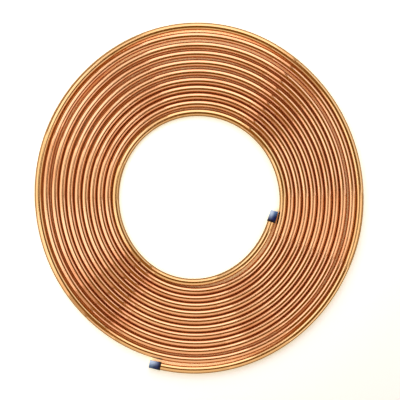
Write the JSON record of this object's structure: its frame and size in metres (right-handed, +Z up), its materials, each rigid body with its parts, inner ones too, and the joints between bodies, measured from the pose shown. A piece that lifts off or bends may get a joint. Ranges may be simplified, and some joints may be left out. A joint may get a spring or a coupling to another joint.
{
  "type": "copper tube coil",
  "caption": "Flat spiral coil of soft copper tube for plumbing and cooling lines, with a push-on plastic cap over each end.",
  "frame": {"origin": "the winding axis at floor level, which is the centre of the bounding box's underside", "axes": "+Z up along the winding axis, out of the floor the coil lies on; +Y to the slack back of the coil, along its longest side; +X to the side of the inner end"},
  "size_m": [0.5722, 0.6098, 0.0153],
  "materials": {
    "copper": "bright drawn and annealed copper, lightly dulled",
    "cap_plastic": "moulded polyethylene, half gloss, blue"
  },
  "bodies": {
    "root": {"copper_tube": "copper", "inner_end_cap": "cap_plastic", "outer_end_cap": "cap_plastic"}
  },
  "joints": []
}
